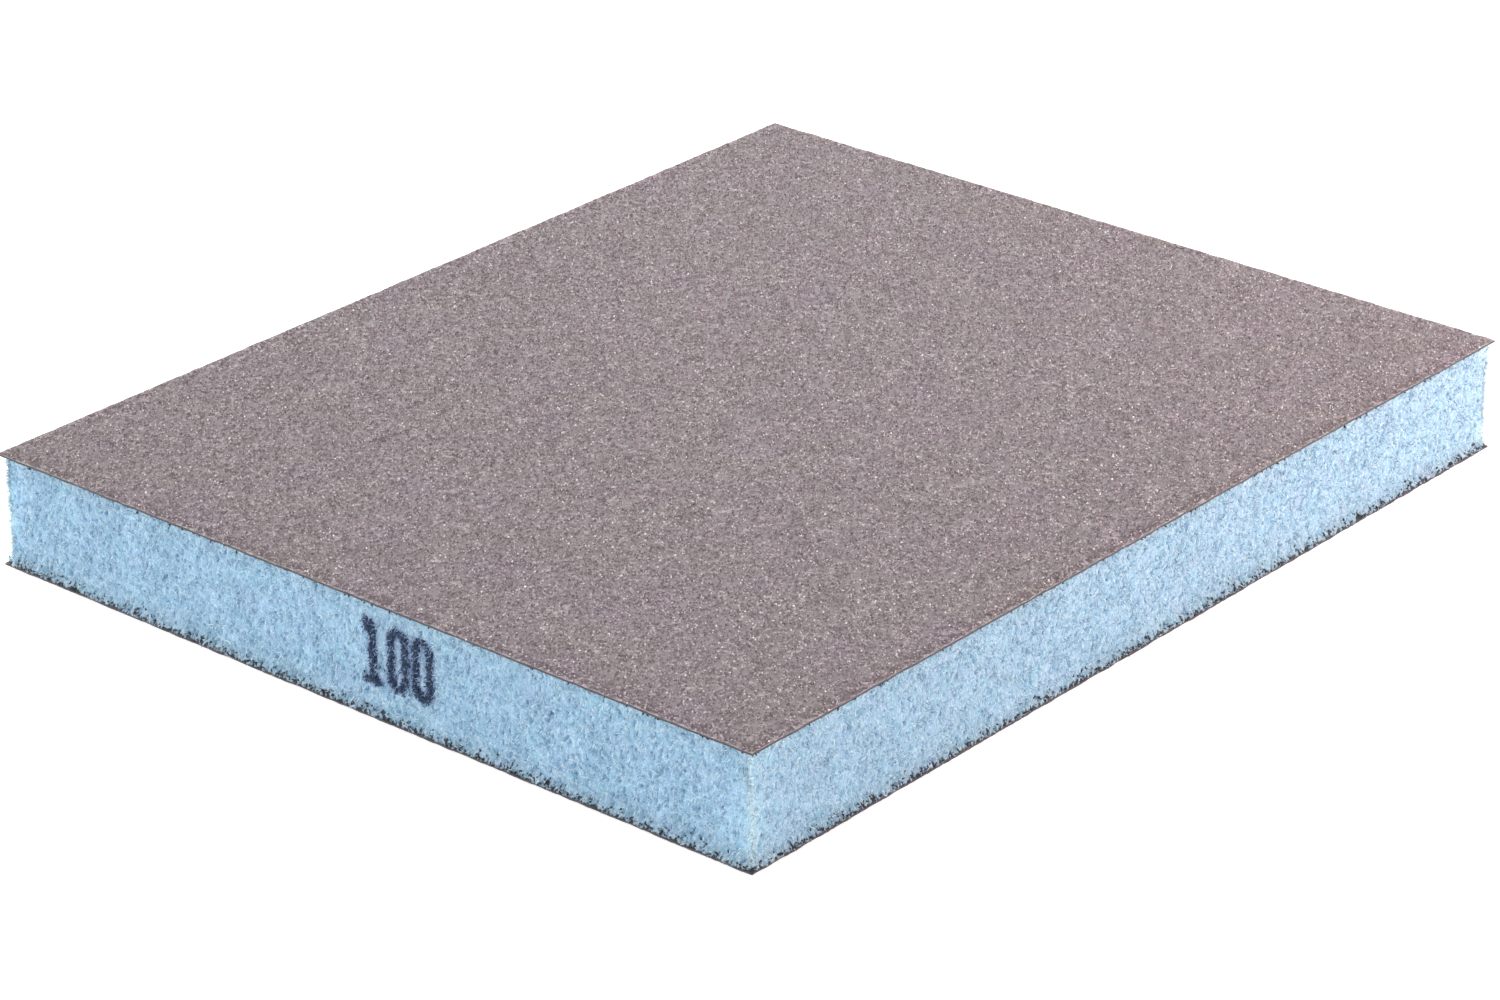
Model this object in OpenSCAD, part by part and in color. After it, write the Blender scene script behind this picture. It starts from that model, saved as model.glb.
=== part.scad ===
// Double-sided foam sanding pad.
// A slab of open-cell foam carries a complete coated abrasive on both broad faces: a bond coat
// that grips the foam, a layer of grain, and a size coat that locks the grain in. The grade
// number is printed on the front edge of the foam.
// Origin: centre of the underside. X runs across the pad, Y along it, Z through its thickness.
// Units: millimetres.

/* [Pad] */
// Width of the pad, across the printed edge
pad_w = 98; // [60:1:140]
// Length of the pad
pad_l = 120; // [60:1:200]
// Thickness over both coats
pad_t = 12.5; // [9:0.1:30]
// How far the foam stands back from the edge of the stiffer coats, on every side
foam_inset = 0.4; // [0:0.1:1.5]

/* [Coats] */
// Thickness of the bond coat between foam and grain
bond_t = 0.25; // [0.1:0.05:0.5]
// Thickness of the grain layer, about one grain deep
grain_t = 0.2; // [0.1:0.05:0.5]
// Thickness of the size coat over the grain
size_t = 0.05; // [0.03:0.01:0.2]

/* [Grade mark] */
// Height of the printed digits
digit_h = 6.9; // [4:0.1:7]
// Width of one digit
digit_w = 2.8; // [2:0.1:2.9]
// Width of the foot under the one
foot_w = 3.2; // [2:0.1:3.3]
// Distance from one digit to the next
digit_pitch = 3.2; // [3:0.05:6]
// Width of the printed line
stroke = 0.7; // [0.4:0.05:0.9]
// Middle of the mark, measured from the middle of the edge
mark_x = 5.3; // [-15:0.05:15]
// Middle of the mark, measured from the middle of the thickness
mark_rise = 0.7; // [-0.5:0.1:1]
// Thickness of the ink film
ink_t = 0.1; // [0.05:0.05:0.2]

/* [Hidden] */

arc_facets = 48;
coat_t = bond_t + grain_t + size_t;
foam_w = pad_w - 2 * foam_inset;
foam_l = pad_l - 2 * foam_inset;
foam_t = pad_t - 2 * coat_t;

// Heights of the coat boundaries above the outer face that a stack of coats starts from
grain_z = size_t;
bond_z = size_t + grain_t;

foam_colour = [0.64, 0.78, 0.88];
bond_colour = [0.17, 0.16, 0.20];
grain_colour = [0.60, 0.56, 0.58];
size_colour = [0.50, 0.45, 0.47];
ink_colour = [0.16, 0.18, 0.30];

// A flat layer centred on the Z axis, standing on height z
module layer(width, length, thickness, z) {
    translate([-width / 2, -length / 2, z])
        cube([width, length, thickness]);
}

// Turns a lower coat into the matching upper one, by mirroring it about the middle of the pad
module to_upper_side() {
    translate([0, 0, pad_t])
        mirror([0, 0, 1])
            children();
}

module foam_core() {
    color(foam_colour)
        layer(foam_w, foam_l, foam_t, coat_t);
}

module bond_coat() {
    color(bond_colour)
        layer(pad_w, pad_l, bond_t, bond_z);
}

module grain_layer() {
    color(grain_colour)
        layer(pad_w, pad_l, grain_t, grain_z);
}

module size_coat() {
    color(size_colour)
        layer(pad_w, pad_l, size_t, 0);
}

// An upright slot with round ends
module upright_slot(width, height) {
    end_y = (height - width) / 2;
    square([width, height - width], center = true);
    for (side = [-1, 1])
        translate([0, side * end_y])
            circle(d = width, $fn = arc_facets);
}

module digit_zero() {
    difference() {
        upright_slot(digit_w, digit_h);
        upright_slot(digit_w - 2 * stroke, digit_h - 2 * stroke);
    }
}

// A stem between a foot bar and a short flag at the top left
module digit_one() {
    flag_w = digit_w / 2;
    square([stroke, digit_h], center = true);
    translate([0, (stroke - digit_h) / 2])
        square([foot_w, stroke], center = true);
    translate([-flag_w, digit_h / 2 - stroke])
        square([flag_w, stroke]);
}

// Stands a flat drawing up on the front face of the foam, so that it reads from outside
module on_front_edge() {
    translate([mark_x, -foam_l / 2, pad_t / 2 + mark_rise])
        rotate([90, 0, 0])
            linear_extrude(height = ink_t)
                children();
}

module grade_mark() {
    color(ink_colour) {
        on_front_edge()
            translate([-digit_pitch, 0])
                digit_one();
        for (place = [0, 1])
            on_front_edge()
                translate([place * digit_pitch, 0])
                    digit_zero();
    }
}

foam_core();
grade_mark();
bond_coat();  // lower_bond_coat
grain_layer();  // lower_grain_layer
size_coat();  // lower_size_coat
to_upper_side() bond_coat();  // upper_bond_coat
to_upper_side() grain_layer();  // upper_grain_layer
to_upper_side() size_coat();  // upper_size_coat
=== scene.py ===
"""Looks of the double-sided foam sanding pad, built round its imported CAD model.

Every length is in metres, in the frame of the CAD: X across the pad, Y along it, Z through its
thickness, with the origin at the centre of the underside. The printed edge faces -Y.
"""

import math

import bpy
import numpy as np
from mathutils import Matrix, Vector, noise


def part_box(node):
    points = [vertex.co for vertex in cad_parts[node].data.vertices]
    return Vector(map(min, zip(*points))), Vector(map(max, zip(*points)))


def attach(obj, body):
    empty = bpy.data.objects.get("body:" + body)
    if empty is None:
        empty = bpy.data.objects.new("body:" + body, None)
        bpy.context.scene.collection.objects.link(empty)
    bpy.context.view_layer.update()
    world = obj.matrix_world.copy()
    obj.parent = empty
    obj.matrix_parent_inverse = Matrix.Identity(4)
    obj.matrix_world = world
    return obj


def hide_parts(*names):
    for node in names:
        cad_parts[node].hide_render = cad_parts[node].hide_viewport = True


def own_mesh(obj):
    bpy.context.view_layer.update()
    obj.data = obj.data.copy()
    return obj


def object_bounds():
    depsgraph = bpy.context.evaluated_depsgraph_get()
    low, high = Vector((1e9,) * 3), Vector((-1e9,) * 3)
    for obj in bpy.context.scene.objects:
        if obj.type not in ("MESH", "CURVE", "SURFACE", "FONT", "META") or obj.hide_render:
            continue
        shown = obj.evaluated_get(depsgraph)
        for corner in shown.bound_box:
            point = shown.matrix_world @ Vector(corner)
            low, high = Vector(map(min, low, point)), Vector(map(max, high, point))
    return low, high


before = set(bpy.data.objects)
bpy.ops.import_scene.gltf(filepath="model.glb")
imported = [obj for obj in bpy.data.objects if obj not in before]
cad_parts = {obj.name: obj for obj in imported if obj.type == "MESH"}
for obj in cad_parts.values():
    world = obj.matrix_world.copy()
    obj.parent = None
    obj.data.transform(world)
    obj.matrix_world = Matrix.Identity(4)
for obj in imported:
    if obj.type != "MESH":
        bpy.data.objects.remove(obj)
CAD_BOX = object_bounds()

MM = 0.001

# Driving sizes
FOAM_CELL = (0.30 * MM, 0.30 * MM, 0.74 * MM)  # one foam cell, taller than wide
FOAM_COLUMNS = (448, 576)  # mesh columns across and along the pad
FOAM_ROWS = 44  # and up its walls
PIT_DEPTH = 0.34 * MM  # depth of the deepest cells
FOAM_WAVE = 0.25 * MM  # how far the cut walls bulge
FOAM_WAVELENGTH = 5 * MM
FLARE_HEIGHT = 0.8 * MM  # where the foam spreads to meet the edge of a coat
CORNER_ROUND = 0.7 * MM  # how far from an upright corner the foam is worn round
CORNER_CUT = 0.22 * MM  # and by how much
CORNER_REACH = 3.5 * MM  # how far from an upright corner the foam is painted paler, a painted glow of light shining through the thin foam there
CORNER_PAINTED_GLOW = [(0.0, 0.0), (0.6, 0.08), (0.87, 0.26), (1.0, 0.95)]  # and how strong that painted glow is, by nearness

# Cut struts of the foam, as slim spindles
STRAND_COUNT = 22000  # struts all over the four walls
CORNER_STRANDS = 600  # extra struts along each upright corner
STRAND_LENGTH = (0.55 * MM, 1.2 * MM)
STRAND_RADIUS = (0.05 * MM, 0.09 * MM)
STRAND_ROOT = 0.4  # share of a strut that lies behind the cut wall
SPINDLE_POINTS = 5
PROUD = 0.03 * MM  # how much further out inked and soaked struts stand
INK_LENGTH = (0.3 * MM, 0.65 * MM)
INK_RADIUS = (0.05 * MM, 0.10 * MM)
SOAK_LENGTH = (0.25 * MM, 0.6 * MM)
SOAK_RADIUS = (0.08 * MM, 0.14 * MM)

# Coats
COAT_COLUMNS = (224, 272)  # mesh columns of a coat across and along the pad
GRAIN_BATCHES = 3  # the standing grains are split up, to keep each mesh small
GRAIN_COUNT = 48000  # grains that stand up from each coat, in each batch
GRAIN_RADIUS = (0.12 * MM, 0.19 * MM)
COAT_INSET = 0.1 * MM  # how far grains and film stay from the edge
EDGE_WAVE = 0.05 * MM  # how far the die-cut edge wanders
LIP = {"upper": 0.08 * MM, "lower": 0.05 * MM}  # thickness of bond coat that shows at its edge
BOND_TUCK = 0.45 * MM  # how far the bond coat narrows towards the foam
SOAK_COUNT = {"upper": 250, "lower": 1500}  # resin-soaked strands round each coat
SOAK_HEIGHT = {"upper": 0.06 * MM, "lower": 0.22 * MM}  # how far up the foam they lie on average
FILM_T = 0.05 * MM  # thickness of the size coat
FILM_LEVEL = 0.3  # height of the size coat between the grains, as a share of the layer's
SOAK_COLOUR = (0.03, 0.03, 0.045)  # of foam that is full of resin

# The grade number, in the plane of the printed edge
DIGIT_W = 2.8 * MM
FOOT_W = 3.2 * MM  # width of the foot under the one
DIGIT_STROKE = 0.95 * MM  # width of a printed stroke with the ink that has spread
DIGIT_INSET = DIGIT_STROKE / 2  # from the outline of a digit to its centre line
ARC_POINTS = 48  # corners round a nought
LINE_STEP = 0.05 * MM  # distance between the points of a centre line
INK_PER_MM = 50  # inked struts along one millimetre of stroke
INK_BLUR = 0.45 * MM  # how far the ink has crept into the foam

FOAM_LOW, FOAM_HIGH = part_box("foam_core")
FOAM_OVERLAP = 0.2 * MM  # how far the foam runs into the bond coats
FLARE_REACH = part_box("lower_bond_coat")[1].x - FOAM_HIGH.x  # from the foam to the edge of a coat
UPPER_FLARE = 0.25  # share of it under the upper coat, which overhangs the foam a little

SIDES = np.array([(0, -1), (1, 0), (0, 1), (-1, 0)], float)  # outward: front, right, back, left

# Soft square lights: name, place, width, power in watts and colour
LIGHTS = [
    ("key", (-0.2, 0.3, 1.2), 1.2, 0.6, (1.0, 1.0, 1.0)),
    ("back", (-0.55, 0.65, 0.30), 0.6, 3.4, (1.0, 1.0, 1.0)),
    ("left", (-0.9, -0.35, 0.25), 0.4, 9.2, (1.0, 1.0, 1.0)),
    ("right", (0.20, 0.15, 0.08), 0.12, 0.53, (1.0, 0.78, 0.70)),
    ("front", (0.35, -0.45, 0.25), 0.4, 0.8, (1.0, 1.0, 1.0)),
]


# ---------------------------------------------------------------- mesh helpers

def outline(half_x, half_y, across, along):
    """Points round a rectangle, anticlockwise from its front left corner, and their outward directions."""
    u = np.linspace(-1, 1, across, endpoint=False)
    v = np.linspace(-1, 1, along, endpoint=False)
    front = np.stack([u, np.full(across, -1.0)], axis=1)
    right = np.stack([np.full(along, 1.0), v], axis=1)
    places = np.concatenate([front, right, -front, -right]) * (half_x, half_y)
    outward = np.repeat(SIDES, [across, along, across, along], axis=0)
    corners = np.cumsum([0, across, along, across])
    outward[corners] = (SIDES + np.roll(SIDES, 1, axis=0)) / math.sqrt(2)
    return places, outward


def band(lower, upper):
    """Quads between two rings of as many points, anticlockwise seen from outside."""
    after_lower = np.roll(lower, -1)
    after_upper = np.roll(upper, -1)
    return np.stack([lower, after_lower, after_upper, upper], axis=1).tolist()


def cap(points, ring, facing_up):
    """Closes a ring with rings of half as many points each, and a polygon in the middle.

    Returns the points with the new ones added, and the faces.
    """
    faces = []
    step = np.linalg.norm(points[ring[1]] - points[ring[0]])
    reach = np.abs(points[ring, :2]).max(axis=0)
    while len(ring) % 2 == 0 and len(ring) > 16:
        shrink = (reach - step) / reach
        inner = np.arange(len(ring) // 2) + len(points)
        points = np.concatenate([points, points[ring[::2]] * (*shrink, 1)])
        first, middle, last = ring[::2], ring[1::2], np.roll(ring[::2], -1)
        after = np.roll(inner, -1)
        faces += np.stack([first, middle, inner], axis=1).tolist()
        faces += np.stack([middle, after, inner], axis=1).tolist()
        faces += np.stack([middle, last, after], axis=1).tolist()
        reach = reach * shrink
        ring = inner
        step *= 2
    faces.append(ring.tolist())
    if not facing_up:
        faces = [face[::-1] for face in faces]
    return points, faces


def unit(vectors):
    """The vectors, each made one long."""
    return vectors / np.linalg.norm(vectors, axis=1)[:, None]


def at_height(flat, z):
    """Flat places or directions, given the height z."""
    return np.column_stack([flat, np.full(len(flat), z)])


def spindles(roots, along, length, radius):
    """Slim strands, pointed at both ends and widest halfway: six triangles each."""
    any_slant = (0.31, 0.52, 0.79)
    side = unit(np.cross(along, any_slant))
    other = np.cross(along, side)
    tips = roots + along * length[:, None]
    rings = []
    for turn in np.radians([0, 120, 240]):
        away = math.cos(turn) * side + math.sin(turn) * other
        rings.append((roots + tips) / 2 + radius[:, None] * away)
    points = np.stack([roots, *rings, tips], axis=1).reshape(-1, 3)
    one = [(0, 2, 1), (0, 3, 2), (0, 1, 3), (4, 1, 2), (4, 2, 3), (4, 3, 1)]
    faces = (np.array(one)[None] + SPINDLE_POINTS * np.arange(len(roots))[:, None, None]).reshape(-1, 3)
    return points, faces.tolist()


def joined(parts):
    """One list of points and one of faces from several."""
    points, faces = [], []
    count = 0
    for some_points, some_faces in parts:
        points.append(some_points)
        faces += [[i + count for i in face] for face in some_faces]
        count += len(some_points)
    return np.concatenate(points), faces


def add_piece(name, points, faces, material, smooth=True):
    """A new mesh object in the frame of the CAD."""
    mesh = bpy.data.meshes.new(name)
    mesh.from_pydata([tuple(p) for p in points.tolist()], [], faces)
    mesh.polygons.foreach_set("use_smooth", [smooth] * len(mesh.polygons))
    mesh.materials.append(material)
    mesh.update()
    piece = bpy.data.objects.new(name, mesh)
    bpy.context.scene.collection.objects.link(piece)
    return piece


def store(piece, name, values, domain="POINT"):
    """Keeps one number per point or face for the material to read."""
    attribute = piece.data.attributes.new(name, "FLOAT", domain)
    attribute.data.foreach_set("value", np.asarray(values, np.float32))


# ---------------------------------------------------------------- foam surface

def smooth_step(t):
    """0 to 1 with a soft start and end."""
    t = np.clip(t, 0, 1)
    return t * t * (3 - 2 * t)


def flare(z):
    """How far the wall spreads at height z to meet the edges of the coats."""
    lower = 1 - smooth_step((z - FOAM_LOW.z) / FLARE_HEIGHT)
    upper = 1 - smooth_step((FOAM_HIGH.z - z) / FLARE_HEIGHT)
    return FLARE_REACH * max(lower, upper * UPPER_FLARE)


def foam_relief(place):
    """How far the cut foam stands back at a place on a wall, and how deep in a cell that is, 0 to 1."""
    cell = Vector(p / size for p, size in zip(place, FOAM_CELL))
    distances, centres = noise.voronoi(cell)
    rim = 0.04
    slope = 0.42
    inside = smooth_step((distances[1] - distances[0] - rim) / slope)
    own_random = noise.cell(centres[0] * 7.31)
    depth = inside * (0.35 + 0.65 * own_random)
    spread = flare(place[2])
    wave = noise.noise(Vector(place) / FOAM_WAVELENGTH) * FOAM_WAVE * (1 - spread / FLARE_REACH)
    away = max(abs(abs(place[0]) - FOAM_HIGH.x), abs(abs(place[1]) - FOAM_HIGH.y))
    cut = CORNER_CUT * max(0, 1 - away / CORNER_ROUND) ** 2
    return depth * PIT_DEPTH + cut - wave - spread, depth


def foam_relief_at(places):
    """foam_relief() for an array of places."""
    return np.array([foam_relief(place) for place in places.tolist()]).T


def corner_nearness(places):
    """1 on the upright corners of the foam, falling to 0 at CORNER_REACH from them."""
    away = np.abs(np.abs(places[:, :2]) - (FOAM_HIGH.x, FOAM_HIGH.y)).max(axis=1)
    return np.clip(1 - away / CORNER_REACH, 0, 1)


def clumps(places, size):
    """Soft random lumps of about the given size, from about -1 to 1."""
    off_axis = np.array([(1.0, 0.37, 0.23), (-0.31, 1.0, 0.29), (0.19, -0.41, 1.0)])
    return np.array([noise.noise(Vector(p)) for p in (places @ off_axis / size).tolist()]) * 2


def soak(places):
    """How much bond resin the foam has soaked up.

    The lower coat's thins out over about 2 mm, and the upper coat's over about 0.25 mm.
    """
    low = 0.54 - 0.26 * (places[:, 2] - FOAM_LOW.z) / MM + 0.07 * clumps(places, 1.3 * MM)
    high = 0.46 - 1.8 * (FOAM_HIGH.z - places[:, 2]) / MM
    return np.maximum(np.minimum(low, 0.6), high).clip(0, 1)


def make_foam(material):
    """The slab of foam: four cut walls of open cells, plain where the coats cover it."""
    places, outward = outline(FOAM_HIGH.x, FOAM_HIGH.y, *FOAM_COLUMNS)
    heights = np.linspace(FOAM_LOW.z - FOAM_OVERLAP, FOAM_HIGH.z + FOAM_OVERLAP, FOAM_ROWS + 1)
    columns = len(places)
    wall = np.concatenate([at_height(places, z) for z in heights])
    back, depth = foam_relief_at(wall)
    normals = np.tile(at_height(outward, 0.0), (FOAM_ROWS + 1, 1))
    points = wall - normals * back[:, None]
    faces = []
    for row in range(FOAM_ROWS):
        ring = np.arange(columns) + row * columns
        faces += band(ring, ring + columns)
    points, under = cap(points, np.arange(columns), facing_up=False)
    points, over = cap(points, np.arange(columns) + FOAM_ROWS * columns, facing_up=True)
    foam = add_piece("foam_slab", points, faces + under + over, material)
    # how deep in a cell each point lies, for the painted shade in the pits
    store(foam, "pit", np.pad(depth, (0, len(points) - len(wall))))
    # nearness to an upright corner, for the painted glow there
    store(foam, "corner", corner_nearness(points))
    store(foam, "soak", soak(points))
    store(foam, "ink", ink_density(points))
    return foam


def wall_places(random, count, low, high):
    """Random places on the foam's four walls, with the outward and sideways directions there."""
    lengths = np.array([FOAM_HIGH.x, FOAM_HIGH.y] * 2)
    outward = SIDES[random.choice(len(SIDES), count, p=lengths / lengths.sum())]
    sideways = np.column_stack([-outward[:, 1], outward[:, 0]])
    shift = random.uniform(-1, 1, count)[:, None]
    flat = (outward + sideways * shift) * (FOAM_HIGH.x, FOAM_HIGH.y)
    z = random.uniform(low, high, count)
    return np.column_stack([flat, z]), at_height(outward, 0.0), at_height(sideways, 0.0)


def strut_directions(random, outward, sideways, stand):
    """Directions of cut struts: they lean every way along a wall and stand out from it."""
    count = len(outward)
    out = np.abs(random.normal(stand, 0.3, count))[:, None] * outward
    aside = random.normal(0, 0.32, count)[:, None] * sideways
    up = random.normal(0, 0.75, count)[:, None] * (0, 0, 1)
    return unit(out + aside + up)


def strut_roots(middles, outward, along, length, proud):
    """Where struts start, so that they cross the cut wall at the right share of their length."""
    back, _ = foam_relief_at(middles)
    return middles - outward * (back[:, None] - proud) - along * (STRAND_ROOT * length)[:, None]


def make_strands(material):
    """Cut cell struts that stand a little proud of the foam walls."""
    random = np.random.default_rng(11)
    on_walls = wall_places(random, STRAND_COUNT, FOAM_LOW.z, FOAM_HIGH.z)
    on_corners = corner_places(random)
    stand = np.repeat([0.75, 0.35], [len(on_walls[0]), len(on_corners[0])])
    middles, outward, sideways = (np.concatenate(pair) for pair in zip(on_walls, on_corners))
    along = strut_directions(random, outward, sideways, stand)
    length = random.uniform(*STRAND_LENGTH, len(middles))
    radius = random.uniform(*STRAND_RADIUS, len(middles))
    roots = strut_roots(middles, outward, along, length, proud=0)
    ends = np.stack([roots[:, 2], roots[:, 2] + along[:, 2] * length])
    below_top = ends.max(axis=0) < FOAM_HIGH.z + FOAM_OVERLAP / 2
    above_underside = ends.min(axis=0) > FOAM_LOW.z - 2 * FOAM_OVERLAP
    free = below_top & above_underside
    points, faces = spindles(roots[free], along[free], length[free], radius[free])
    strands = add_piece("foam_strands", points, faces, material)
    # nearness to an upright corner, for the painted glow there
    store(strands, "corner", corner_nearness(points))
    # how pale each strut is painted, at random, and how far along it a point lies from base to tip, for the
    # painted shade near its base
    store(strands, "shade", np.repeat(random.random(free.sum()), SPINDLE_POINTS))
    store(strands, "tip", np.tile((0.0, 0.5, 0.5, 0.5, 1.0), free.sum()))
    store(strands, "soak", soak(points))
    store(strands, "ink", 0.7 * ink_density(points))
    return strands


def corner_places(random):
    """Random places on the upright corners of the foam, with their outward and sideways directions."""
    signs = np.array([(1, -1), (1, 1), (-1, 1), (-1, -1)], float)
    signs = np.repeat(signs, CORNER_STRANDS, axis=0)
    count = len(signs)
    z = random.uniform(FOAM_LOW.z, FOAM_HIGH.z, count)
    flat = signs * (FOAM_HIGH.x, FOAM_HIGH.y)
    wander = clumps(np.column_stack([flat, z]), 2.5 * MM)[:, None] * (0.5 * MM, -0.5 * MM)
    inward = wander.clip(0, None) + np.abs(random.normal(0, 0.2 * MM, (count, 2)))
    flat = flat - signs * inward
    turn = np.arctan2(signs[:, 1], signs[:, 0]) + random.normal(0, 0.6, count)
    outward = np.column_stack([np.cos(turn), np.sin(turn)])
    sideways = np.column_stack([-outward[:, 1], outward[:, 0]])
    return np.column_stack([flat, z]), at_height(outward, 0.0), at_height(sideways, 0.0)


# ---------------------------------------------------------------- grade mark

def resampled(corners, closed=False):
    """Points LINE_STEP apart along a line through the given corners."""
    corners = np.array(corners, float)
    if closed:
        corners = np.concatenate([corners, corners[:1]])
    run = np.concatenate([[0], np.cumsum(np.linalg.norm(np.diff(corners, axis=0), axis=1))])
    at = np.arange(0, run[-1], LINE_STEP)
    return np.column_stack([np.interp(at, run, corners[:, k]) for k in range(2)])


def zero_line(middle, half_w, half_h):
    """The centre line of a nought: two half circles joined by straight sides."""
    turn = np.linspace(0, 2 * math.pi, ARC_POINTS, endpoint=False)
    straight = (half_h - half_w) * np.where(turn < math.pi, 1, -1)
    corners = np.column_stack([np.cos(turn), np.sin(turn)]) * half_w
    corners[:, 1] += straight
    return resampled(corners + middle, closed=True)


def one_line(middle, half_w, half_h):
    """The centre lines of a one: a stem, a foot and a short thick flag."""
    x, z = middle
    flag_x = x - 0.8 * half_w
    foot_z, top_z = z - half_h, z + half_h
    flag_z = top_z - 0.5 * MM
    strokes = [
        [(x, foot_z), (x, top_z)],
        [(x - half_w, foot_z), (x + half_w, foot_z)],
        [(flag_x, top_z), (x, top_z)],
        [(flag_x, flag_z), (x, flag_z)],
    ]
    return np.concatenate([resampled(stroke) for stroke in strokes])


def mark_line():
    """Points along the centre lines of all three digits, as (x, z)."""
    low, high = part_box("grade_mark")
    half_w, half_h = DIGIT_W / 2 - DIGIT_INSET, (high.z - low.z) / 2 - DIGIT_INSET
    middle_z = (low.z + high.z) / 2
    first, last = low.x + FOOT_W / 2, high.x - DIGIT_W / 2
    return np.concatenate([
        one_line((first, middle_z), FOOT_W / 2 - DIGIT_INSET, half_h),
        zero_line(((first + last) / 2, middle_z), half_w, half_h),
        zero_line((last, middle_z), half_w, half_h),
    ])


def ink_density(places):
    """How much ink has crept to each place: 1 on a stroke, less between two strokes, 0 far away."""
    line = mark_line()
    reach = 3 * INK_BLUR
    low, high = line.min(axis=0) - reach, line.max(axis=0) + reach
    flat = places[:, [0, 2]]
    close = (places[:, 1] < FOAM_LOW.y + MM) & (flat > low).all(axis=1) & (flat < high).all(axis=1)
    away = np.linalg.norm(flat[close][:, None] - line[None], axis=2)
    density = np.zeros(len(places))
    density[close] = np.exp(-(away / INK_BLUR) ** 2 / 2).sum(axis=1)
    return density * LINE_STEP / (INK_BLUR * math.sqrt(2 * math.pi))


def make_mark(material):
    """The printed grade number: ink that has caught on the struts of the foam."""
    random = np.random.default_rng(41)
    line = mark_line()
    count = int(len(line) * LINE_STEP / MM * INK_PER_MM)
    flat = line[random.integers(len(line), size=count)] + random.normal(0, DIGIT_STROKE / 4, (count, 2))
    middles = np.column_stack([flat[:, 0], np.full(count, FOAM_LOW.y), flat[:, 1]])
    outward = np.tile((0.0, -1.0, 0.0), (count, 1))
    sideways = np.tile((1.0, 0.0, 0.0), (count, 1))
    along = strut_directions(random, outward, sideways, stand=0.6)
    length = random.uniform(*INK_LENGTH, count)
    radius = random.uniform(*INK_RADIUS, count)
    roots = strut_roots(middles, outward, along, length, PROUD)
    points, faces = spindles(roots, along, length, radius)
    return add_piece("grade_mark_ink", points, faces, material)


# ---------------------------------------------------------------- coats

class Coat:
    """Where one coat lies. Its grain and size coat share one layer, which starts at bond_z."""

    def __init__(self, side):
        self.side = side
        self.body = f"{side}_face"
        self.up = 1 if side == "upper" else -1
        self.seed = 1 if side == "upper" else 2
        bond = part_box(f"{side}_bond_coat")
        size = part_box(f"{side}_size_coat")
        self.half_x, self.half_y = bond[1].x, bond[1].y
        ends = (0, 1) if self.up > 0 else (1, 0)
        self.foam_z, self.bond_z = bond[ends[0]].z, bond[ends[1]].z
        self.layer = abs(size[ends[1]].z - self.bond_z)

    def outward(self, faces):
        """The faces turned to suit a coat that faces down."""
        return faces if self.up > 0 else [face[::-1] for face in faces]


def coat_edge(coat, inset=0.0):
    """The outline of a coat, which wanders a little because the edge is die-cut."""
    places, outward = outline(coat.half_x - inset, coat.half_y - inset, *COAT_COLUMNS)
    wander = EDGE_WAVE * clumps(at_height(places, MM), 2 * MM)
    return places + outward * wander[:, None]


def ring_slab(rings):
    """A closed slab whose rings of points go from its foam side to its outer side."""
    count = len(rings[0])
    points = np.concatenate(rings)
    faces = []
    for row in range(len(rings) - 1):
        ring = np.arange(count) + row * count
        faces += band(ring, ring + count)
    points, under = cap(points, np.arange(count), facing_up=False)
    points, over = cap(points, np.arange(count) + (len(rings) - 1) * count, facing_up=True)
    return points, faces + under + over


def make_bond(coat, material):
    """The dark resin between foam and grain, with the foam strands that it has soaked."""
    edge = coat_edge(coat)
    tuck = coat_edge(coat, inset=BOND_TUCK)
    lip_z = coat.bond_z - coat.up * LIP[coat.side]
    slab_points, slab_faces = ring_slab([
        at_height(tuck, coat.foam_z),
        at_height(edge, lip_z),
        at_height(edge, coat.bond_z),
    ])
    points, faces = joined([(slab_points, coat.outward(slab_faces)), soaked_strands(coat)])
    return add_piece(f"{coat.side}_bond", points, faces, material)


def soaked_strands(coat):
    """Short dark strands that reach from the bond coat into the foam."""
    random = np.random.default_rng(20 + coat.seed)
    count = SOAK_COUNT[coat.side]
    base, outward, sideways = wall_places(random, count, coat.foam_z, coat.foam_z)
    tall = SOAK_HEIGHT[coat.side] * (1 + 0.5 * clumps(base, 1.1 * MM)).clip(0.3, 2)
    base[:, 2] -= coat.up * np.minimum(random.exponential(tall), 4 * SOAK_HEIGHT[coat.side])
    along = strut_directions(random, outward, sideways, stand=0.4)
    length = random.uniform(*SOAK_LENGTH, count)
    radius = random.uniform(*SOAK_RADIUS, count)
    roots = strut_roots(base, outward, along, length, PROUD)
    inside = (roots[:, 2] > FOAM_LOW.z - FOAM_OVERLAP) & (roots[:, 2] < FOAM_HIGH.z + FOAM_OVERLAP)
    return spindles(roots[inside], along[inside], length[inside], radius[inside])


def grid(half_x, half_y, across, along):
    """A flat grid of places over a rectangle, and the index of each place in it."""
    x = np.linspace(-half_x, half_x, across + 1)
    y = np.linspace(-half_y, half_y, along + 1)
    places = np.stack(np.meshgrid(x, y), axis=-1)
    return places, np.arange(len(x) * len(y)).reshape(len(y), len(x))


def border(index):
    """The outer ring of a grid, anticlockwise from its front left corner."""
    return np.concatenate([index[0, :-1], index[:-1, -1], index[-1, :0:-1], index[:0:-1, 0]])


def squares(index):
    """The four corners of every square of a grid, anticlockwise."""
    return index[:-1, :-1], index[:-1, 1:], index[1:, 1:], index[1:, :-1]


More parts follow.
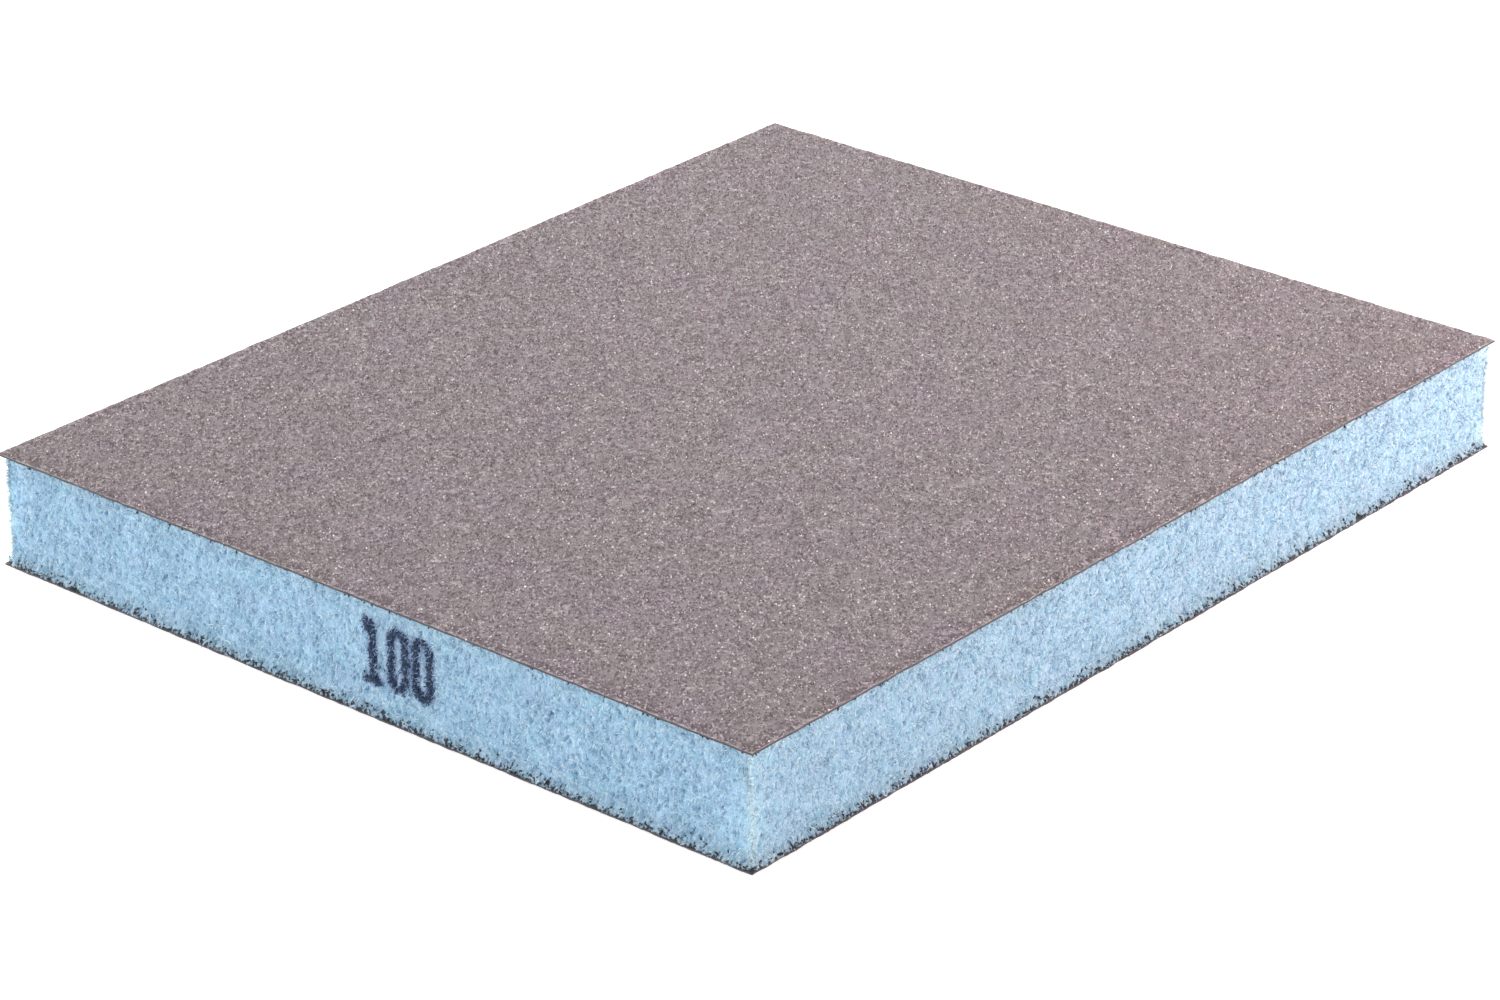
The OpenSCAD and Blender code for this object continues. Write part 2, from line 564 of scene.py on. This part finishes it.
def triangles(random, index):
    """Every square of a grid split along one diagonal or the other, at random."""
    a, b, c, d = squares(index)
    flip = random.random(a.shape)[..., None] < 0.5
    one = np.where(flip, np.stack([a, b, c], -1), np.stack([a, b, d], -1))
    two = np.where(flip, np.stack([a, c, d], -1), np.stack([b, c, d], -1))
    return np.concatenate([one.reshape(-1, 3), two.reshape(-1, 3)]).tolist()


def grit_top(coat, random):
    """The uneven top of a grain layer between its standing grains, and the index of its grid."""
    places, index = grid(coat.half_x, coat.half_y, *COAT_COLUMNS)
    pitch = places[1, 1] - places[0, 0]
    jitter = np.moveaxis(random.uniform(-0.36, 0.36, (2, *index.shape)), 0, -1)
    places[1:-1, 1:-1] += (jitter * pitch)[1:-1, 1:-1]
    height = coat.layer * (0.05 + 0.4 * random.beta(0.8, 0.9, index.shape))
    points = np.concatenate([places, (coat.bond_z + coat.up * height)[..., None]], axis=-1).reshape(-1, 3)
    ring = border(index)
    points[ring, :2] = coat_edge(coat)
    points[ring, 2] = coat.bond_z + coat.up * coat.layer * random.uniform(0.4, 0.65, len(ring))
    return points, index


def make_grit(coat, material):
    """The bed of a grain layer: a closed faceted slab with a die-cut edge, under the standing grains."""
    random = np.random.default_rng(30 + coat.seed)
    points, index = grit_top(coat, random)
    over = triangles(random, index)
    ring = border(index)
    base = np.arange(len(ring)) + len(points)
    points = np.concatenate([points, at_height(points[ring, :2], coat.bond_z)])
    edge = band(base, ring)
    points, under = cap(points, base, facing_up=False)
    faces = coat.outward(over + edge + under)
    grit = add_piece(f"{coat.side}_grit", points, faces, material, smooth=False)
    store(grit, "grain", random.uniform(0.0, 0.7, len(faces)), domain="FACE")
    store(grit, "edge", np.repeat([0, 1, 0], [len(over), len(edge), len(under)]), domain="FACE")
    return grit


def make_grains(coat, batch, material):
    """Standing grains: sharp four-faced crystals that rise to the full height of the layer."""
    random = np.random.default_rng([50 + coat.seed, batch])
    reach = np.array([coat.half_x, coat.half_y]) - COAT_INSET
    middles = random.uniform(-1, 1, (GRAIN_COUNT, 2)) * reach
    turns = random.uniform(0, 2 * math.pi, GRAIN_COUNT)[:, None] + np.radians([0, 120, 240])
    turns = turns + random.normal(0, 0.25, turns.shape)
    radius = random.uniform(*GRAIN_RADIUS, turns.shape)
    feet = middles[:, None] + radius[..., None] * np.stack([np.cos(turns), np.sin(turns)], axis=-1)
    feet_z = coat.bond_z + coat.up * coat.layer * random.uniform(0.05, 0.35, turns.shape)
    feet = np.concatenate([feet, feet_z[..., None]], axis=-1)
    peak = middles + random.normal(0, 0.035, middles.shape) * MM
    peak_z = coat.bond_z + coat.up * coat.layer * random.uniform(0.75, 1.0, GRAIN_COUNT)
    points = np.concatenate([feet, np.column_stack([peak, peak_z])[:, None]], axis=1).reshape(-1, 3)
    one = np.array([(0, 2, 1), (0, 1, 3), (1, 2, 3), (2, 0, 3)])
    faces = (one[None] + 4 * np.arange(GRAIN_COUNT)[:, None, None]).reshape(-1, 3).tolist()
    grains = add_piece(f"{coat.side}_grains_{batch}", points, coat.outward(faces), material, smooth=False)
    store(grains, "grain", np.repeat(random.random(GRAIN_COUNT), len(one)), domain="FACE")
    return grains


def make_film(coat, material):
    """The size coat: a thin resin film that lies in the valleys between the grains."""
    columns = [count // 4 for count in COAT_COLUMNS]
    places, index = grid(coat.half_x - COAT_INSET, coat.half_y - COAT_INSET, *columns)
    flat = places.reshape(-1, 2)
    wave = np.array([noise.noise(Vector((x, y, 0)) / (4 * MM)) for x, y in flat.tolist()])
    top = coat.layer * (FILM_LEVEL + 0.06 * wave)
    shells = [coat.bond_z + coat.up * (top - FILM_T), coat.bond_z + coat.up * top]
    points = np.concatenate([np.column_stack([flat, z]) for z in shells])
    ring = border(index)
    quads = np.stack(squares(index), -1).reshape(-1, 4)
    faces = quads[:, ::-1].tolist() + (quads + len(flat)).tolist() + band(ring, ring + len(flat))
    return add_piece(f"{coat.side}_film", points, coat.outward(faces), material)


# ---------------------------------------------------------------- materials

class Paint:
    """A short way to write a node material."""

    def __init__(self, name):
        self.material = bpy.data.materials.new(name)
        self.material.use_nodes = True
        self.nodes = self.material.node_tree.nodes
        self.links = self.material.node_tree.links
        self.shader = self.nodes["Principled BSDF"]

    def node(self, kind, **settings):
        """Adds a node. A setting is a property of the node or, failing that, one of its inputs."""
        made = self.nodes.new(kind)
        for name, value in settings.items():
            if hasattr(made, name):
                setattr(made, name, value)
            else:
                made.inputs[name.replace("_", " ").title()].default_value = value
        return made

    def link(self, source, target):
        self.links.new(source, target)

    def attribute(self, name):
        """The numbers that store() has kept on the mesh."""
        return self.node("ShaderNodeAttribute", attribute_name=name).outputs["Fac"]

    def place(self, stretch=(1, 1, 1)):
        """Object coordinates, with the pattern stretched along each axis."""
        mapping = self.node("ShaderNodeMapping")
        mapping.inputs["Scale"].default_value = [1 / s for s in stretch]
        self.link(self.node("ShaderNodeTexCoord").outputs["Object"], mapping.inputs["Vector"])
        return mapping.outputs["Vector"]

    def noise(self, size, detail=2.0):
        """Soft random greys in lumps of about the given size."""
        made = self.node("ShaderNodeTexNoise", scale=1 / size, detail=detail)
        self.link(self.place(), made.inputs["Vector"])
        return made.outputs["Fac"]

    def cells(self, size, feature="DISTANCE_TO_EDGE", output="Distance", stretch=(1, 1, 1)):
        """Random cells of about the given size: by default the distance to a cell's edge."""
        made = self.node("ShaderNodeTexVoronoi", feature=feature, scale=1 / size)
        self.link(self.place(stretch), made.inputs["Vector"])
        return made.outputs[output]

    def ramp(self, source, stops):
        """Colours or greys by position along 0 to 1."""
        made = self.node("ShaderNodeValToRGB")
        elements = made.color_ramp.elements
        while len(elements) < len(stops):
            elements.new(0.5)
        for element, (at, colour) in zip(elements, stops):
            element.position = at
            element.color = (*colour, 1) if isinstance(colour, tuple) else (colour, colour, colour, 1)
        self.link(source, made.inputs["Fac"])
        return made.outputs["Color"]

    def mix(self, share, first, second, blend="MIX"):
        """Mixes two colours. A share or colour is a number, a tuple or a socket."""
        made = self.node("ShaderNodeMix", data_type="RGBA", blend_type=blend)
        for value, at in ((share, 0), (first, 6), (second, 7)):
            socket = made.inputs[at]
            if isinstance(value, bpy.types.NodeSocket):
                self.link(value, socket)
            elif isinstance(value, tuple):
                socket.default_value = (*value, 1)
            else:
                socket.default_value = value
        return made.outputs[2]

    def struts(self, size, share):
        """Broken thin lines along the borders of upright cells, 1 on a line; share is how much shows."""
        edge = self.cells(size, stretch=(1, 1, 2.2))
        line = self.ramp(edge, [(0.02, 1.0), (0.16, 0.0)])
        gap = self.noise(size, detail=1)
        kept = self.ramp(gap, [(0.62 - share * 0.5, 0.0), (0.72 - share * 0.5, 1.0)])
        return self.mix(1.0, line, kept, blend="MULTIPLY")

    def stain(self, amount, speck):
        """A ragged mask: where amount is high all of it, and where it is low only the darkest specks."""
        made = self.node("ShaderNodeMath", operation="SUBTRACT")
        self.link(amount, made.inputs[0])
        self.link(speck, made.inputs[1])
        return self.ramp(made.outputs[0], [(0.0, 0.0), (0.12, 1.0)])

    def inked(self, body, speck):
        """The foam's colour where ink has crept into it: lilac at first, and navy specks on a stroke."""
        ink = self.attribute("ink")
        body = self.mix(self.ramp(ink, [(0.2, 0.0), (0.5, 0.75), (1.0, 0.8)]), body, (0.20, 0.28, 0.47))
        specks = self.stain(self.ramp(ink, [(0.35, 0.30), (1.0, 0.62)]), speck)
        return self.mix(specks, body, (0.025, 0.055, 0.125))

    def bump(self, height, strength, distance):
        made = self.node("ShaderNodeBump", strength=strength, distance=distance)
        self.link(height, made.inputs["Height"])
        return made.outputs["Normal"]

    def finish(self, colour, roughness, normal, **constants):
        """Joins the sockets to the shader and sets its constant values."""
        self.link(colour, self.shader.inputs["Base Color"])
        self.link(roughness, self.shader.inputs["Roughness"])
        self.link(normal, self.shader.inputs["Normal"])
        for name, value in constants.items():
            self.shader.inputs[name.replace("_", " ")].default_value = value
        return self.material


def foam_material():
    """Pale blue foam, with painted shade that makes it darker and bluer deeper in a cell, painted
    highlights on the struts and a painted glow along the upright corners.
    """
    paint = Paint("open_cell_foam")
    # painted shade: the foam is drawn darker and bluer the deeper a point lies in its cell
    pit = paint.attribute("pit")
    body = paint.ramp(pit, [
        (0.0, (0.25, 0.42, 0.58)),
        (0.4, (0.195, 0.355, 0.515)),
        (1.0, (0.082, 0.20, 0.36)),
    ])
    hue = paint.ramp(paint.noise(3 * MM, detail=3), [(0.35, (0.95, 1.02, 1.0)), (0.65, (1.06, 0.98, 1.01))])
    body = paint.mix(1.0, body, hue, blend="MULTIPLY")
    # painted highlight: paler broken lines where the struts of far and near cells catch the light; the near
    # ones also give the bump and the roughness
    far_strut_highlight = paint.struts(0.28 * MM, 0.25)
    body = paint.mix(far_strut_highlight, body, (0.32, 0.49, 0.63))
    near_struts = paint.struts(0.36 * MM, 0.35)
    body = paint.mix(near_struts, body, (0.43, 0.59, 0.71))
    # painted glow: the foam is drawn paler and whiter near an upright corner, as if lit through
    corner = paint.attribute("corner")
    body = paint.mix(paint.ramp(corner, CORNER_PAINTED_GLOW), body, (0.58, 0.84, 1.0))
    speck = paint.noise(0.36 * MM, detail=2)
    body = paint.inked(body, speck)
    soaked = paint.stain(paint.attribute("soak"), paint.noise(0.5 * MM, detail=2))
    body = paint.mix(soaked, body, SOAK_COLOUR)
    normal = paint.bump(near_struts, 0.6, 0.06 * MM)
    roughness = paint.ramp(near_struts, [(0.0, 0.95), (1.0, 0.75)])
    return paint.finish(
        body, roughness, normal,
        Subsurface_Weight=0.5,
        Subsurface_Scale=0.006,
        Subsurface_Radius=(0.6, 0.85, 1.0),
    )


def strand_material():
    """The same foam, painted paler where a thin strut catches the light: a painted highlight that differs
    at random from strut to strut, with painted shade towards its base and a painted glow near the upright
    corners.
    """
    paint = Paint("foam_strut")
    shade = paint.attribute("shade")
    body = paint.ramp(shade, [
        (0.0, (0.26, 0.42, 0.575)),
        (0.5, (0.42, 0.585, 0.71)),
        (1.0, (0.62, 0.75, 0.84)),
    ])
    # painted shade: a strut is drawn darker towards its base, down among the pits, and palest at its tip
    painted_root_shade = paint.ramp(paint.attribute("tip"), [(0.0, (0.75, 0.85, 0.92)), (0.6, (1.0, 1.0, 1.0))])
    body = paint.mix(1.0, body, painted_root_shade, blend="MULTIPLY")
    # painted glow: struts near an upright corner are drawn nearly white, as if lit through
    corner = paint.attribute("corner")
    body = paint.mix(paint.ramp(corner, CORNER_PAINTED_GLOW), body, (0.76, 0.94, 1.0))
    tone = paint.noise(0.36 * MM, detail=2)
    body = paint.inked(body, tone)
    soaked = paint.stain(paint.attribute("soak"), paint.noise(0.5 * MM, detail=2))
    body = paint.mix(soaked, body, SOAK_COLOUR)
    roughness = paint.ramp(tone, [(0.3, 0.9), (0.7, 0.75)])
    normal = paint.bump(paint.noise(0.05 * MM), 0.3, 0.01 * MM)
    return paint.finish(body, roughness, normal)


def ink_material():
    """Dark navy printing ink, thinner in places."""
    paint = Paint("grade_ink")
    tone = paint.noise(0.3 * MM, detail=3)
    body = paint.ramp(tone, [(0.3, (0.010, 0.028, 0.072)), (0.7, (0.055, 0.10, 0.19))])
    roughness = paint.ramp(tone, [(0.3, 0.55), (0.7, 0.8)])
    normal = paint.bump(paint.noise(0.06 * MM), 0.3, 0.01 * MM)
    return paint.finish(body, roughness, normal)


def bond_material():
    """Nearly black, faintly blue resin."""
    paint = Paint("bond_resin")
    tone = paint.noise(0.4 * MM, detail=3)
    body = paint.ramp(tone, [(0.3, (0.008, 0.011, 0.016)), (0.7, (0.034, 0.036, 0.046))])
    roughness = paint.ramp(tone, [(0.3, 0.45), (0.7, 0.75)])
    normal = paint.bump(paint.noise(0.12 * MM, detail=3), 0.5, 0.03 * MM)
    return paint.finish(body, roughness, normal)


def grit_material():
    """Brown-grey grain: dark, middling and light grains, in faint blotches of warmer and cooler tint."""
    paint = Paint("abrasive_grain")
    grain = paint.attribute("grain")
    body = paint.ramp(grain, [
        (0.0, (0.17, 0.142, 0.154)),
        (0.5, (0.36, 0.306, 0.328)),
        (0.92, (0.54, 0.468, 0.50)),
        (1.0, (0.92, 0.86, 0.88)),
    ])
    fine = paint.cells(0.20 * MM, feature="F1", output="Color")
    fine_tone = paint.ramp(fine, [(0.0, 0.85), (0.8, 1.03), (1.0, 1.15)])
    body = paint.mix(1.0, body, fine_tone, blend="MULTIPLY")
    blotch = paint.noise(7 * MM, detail=3)
    tint = paint.ramp(blotch, [(0.3, (1.0, 0.96, 1.03)), (0.5, (1.0, 1.0, 1.0)), (0.7, (1.0, 1.01, 0.95))])
    body = paint.mix(1.0, body, tint, blend="MULTIPLY")
    body = paint.mix(paint.attribute("edge"), body, (0.07, 0.062, 0.07))
    roughness = paint.ramp(grain, [(0.0, 0.8), (0.8, 0.5), (1.0, 0.3)])
    height = paint.cells(0.16 * MM, feature="F1")
    normal = paint.bump(height, 0.6, 0.04 * MM)
    return paint.finish(body, roughness, normal)


def film_material():
    """Thin brown resin film between the grains."""
    paint = Paint("size_resin")
    tone = paint.noise(0.6 * MM, detail=3)
    body = paint.ramp(tone, [(0.3, (0.13, 0.10, 0.115)), (0.7, (0.20, 0.165, 0.18))])
    roughness = paint.ramp(tone, [(0.3, 0.4), (0.7, 0.6)])
    normal = paint.bump(paint.noise(0.2 * MM, detail=3), 0.4, 0.03 * MM)
    return paint.finish(body, roughness, normal)


# ---------------------------------------------------------------- stage, light and camera

def make_stage():
    """A plain pale floor that the pad lies on."""
    paint = Paint("floor")
    tone = paint.noise(0.5, detail=2)
    body = paint.ramp(tone, [(0.3, 0.90), (0.7, 0.92)])
    roughness = paint.ramp(tone, [(0.3, 0.85), (0.7, 0.9)])
    normal = paint.bump(tone, 0.1, 0.001)
    material = paint.finish(
        body, roughness, normal,
        Emission_Color=(1.0, 1.0, 1.0, 1.0),
        Emission_Strength=0.5,
    )
    half = 4.0
    points = np.array([(-half, -half, 0), (half, -half, 0), (half, half, 0), (-half, half, 0)], float)
    floor = add_piece("floor", points, [[0, 1, 2, 3]], material)
    gap = 0.1 * MM
    floor.location.z = CAD_BOX[0].z - gap


def make_light(name, location, size, power, colour):
    """A square soft light aimed at the pad."""
    data = bpy.data.lights.new(name, "AREA")
    data.shape = "SQUARE"
    data.size = size
    data.energy = power
    data.color = colour
    light = bpy.data.objects.new(name, data)
    light.location = location
    light.rotation_mode = "QUATERNION"
    light.rotation_quaternion = (-Vector(location)).to_track_quat("-Z", "Y")
    light.visible_camera = False
    bpy.context.scene.collection.objects.link(light)


def make_world(strength):
    """Even white light from all round."""
    world = bpy.data.worlds.new("studio")
    world.use_nodes = True
    background = world.node_tree.nodes["Background"]
    background.inputs["Color"].default_value = (1, 1, 1, 1)
    background.inputs["Strength"].default_value = strength
    bpy.context.scene.world = world


def make_camera(azimuth, elevation, distance, target, lens):
    """A camera that looks at target; azimuth 0 looks along +Y and elevation is above the horizon."""
    data = bpy.data.cameras.new("camera")
    data.lens = lens
    data.clip_start = 0.01
    camera = bpy.data.objects.new("camera", data)
    a, e = math.radians(azimuth), math.radians(elevation)
    back = Vector((math.sin(a) * math.cos(e), -math.cos(a) * math.cos(e), math.sin(e)))
    camera.location = target + back * distance
    camera.rotation_mode = "QUATERNION"
    camera.rotation_quaternion = (-back).to_track_quat("-Z", "Y")
    bpy.context.scene.collection.objects.link(camera)
    bpy.context.scene.camera = camera


# ---------------------------------------------------------------- the pad

make_camera(
    azimuth=40.22,
    elevation=25.18,
    distance=0.515,
    target=Vector((0.0002, -0.0026, 0.0016)),
    lens=120.85,
)
make_world(0.60)
for light in LIGHTS:
    make_light(*light)
make_stage()
bpy.context.scene.view_settings.view_transform = "Standard"

foam = make_foam(foam_material())
strands = make_strands(strand_material())
mark = make_mark(ink_material())
for piece, slot in ((foam, "foam"), (strands, "foam"), (mark, "ink")):
    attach(piece, "lower_face")
    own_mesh(piece)
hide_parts("foam_core")
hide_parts("grade_mark")

resin, grit, film = bond_material(), grit_material(), film_material()
for side in ("lower", "upper"):
    coat = Coat(side)
    for batch in range(GRAIN_BATCHES):
        grains = make_grains(coat, batch, grit)
        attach(grains, coat.body)
    layers = (
        (make_bond(coat, resin), "bond_coat", "bond_resin"),
        (make_grit(coat, grit), "grain_layer", "abrasive_grain"),
        (make_film(coat, film), "size_coat", "size_resin"),
    )
    for piece, node, slot in layers:
        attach(piece, coat.body)
        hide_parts(f"{side}_{node}")
